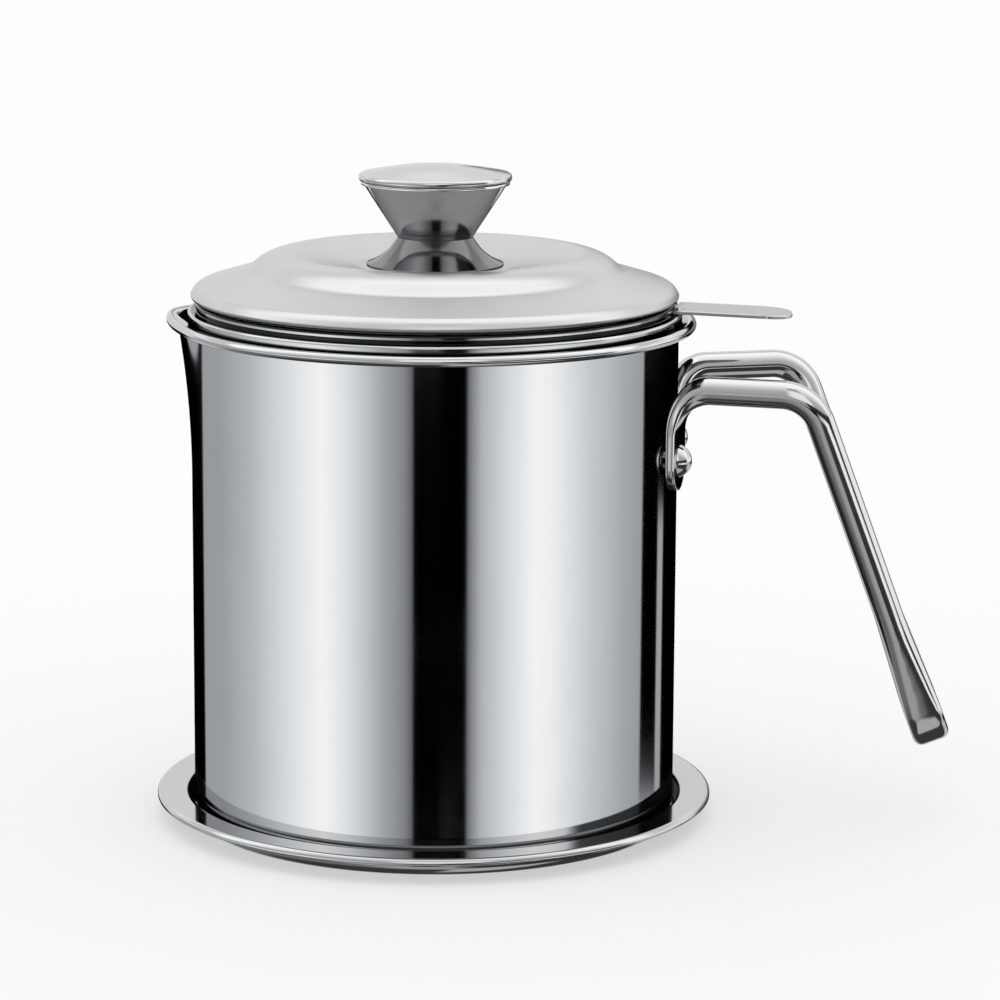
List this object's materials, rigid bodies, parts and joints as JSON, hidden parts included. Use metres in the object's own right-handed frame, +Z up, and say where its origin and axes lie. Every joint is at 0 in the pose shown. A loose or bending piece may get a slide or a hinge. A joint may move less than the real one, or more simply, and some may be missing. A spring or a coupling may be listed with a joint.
{
  "type": "oil strainer jug",
  "caption": "Round steel jug with a pouring spout, riveted loop handle, lift-out strainer with a thumb tab, knobbed lid and loose drip tray, for straining and keeping frying oil.",
  "frame": {"origin": "on the jug's axis, at the underside of the drip tray's floor", "axes": "+Z up along the jug's axis, +X towards the handle, the pouring spout at -X"},
  "size_m": [0.1981, 0.1386, 0.1626],
  "materials": {
    "polished_steel": "mirror polished steel",
    "satin_steel": "soft polished steel",
    "wire_cloth": "woven wire"
  },
  "bodies": {
    "tray": {"tray": "polished_steel"},
    "jug": {"jug_body": "polished_steel", "handle_loop": "polished_steel", "handle_rivets": "polished_steel"},
    "strainer": {"strainer_collar": "polished_steel", "strainer_mesh": "wire_cloth", "strainer_clamp_ring": "satin_steel", "strainer_tab": "polished_steel", "tab_spot_welds": "polished_steel"},
    "lid": {"lid_shell": "satin_steel", "lid_skirt": "satin_steel", "knob_base": "polished_steel", "knob_cup": "polished_steel", "knob_cap": "polished_steel", "knob_nut": "polished_steel", "knob_screw": "polished_steel", "knob_washer": "polished_steel"}
  },
  "joints": [
    {"name": "jug_lift", "type": "slide", "parent": "tray", "child": "jug", "axis": [0, 0, 1], "range_m": [0, 0.04]},
    {"name": "strainer_lift", "type": "slide", "parent": "jug", "child": "strainer", "axis": [0, 0, 1], "range_m": [0, 0.06]},
    {"name": "lid_lift", "type": "slide", "parent": "strainer", "child": "lid", "axis": [0, 0, 1], "range_m": [0, 0.04]}
  ]
}
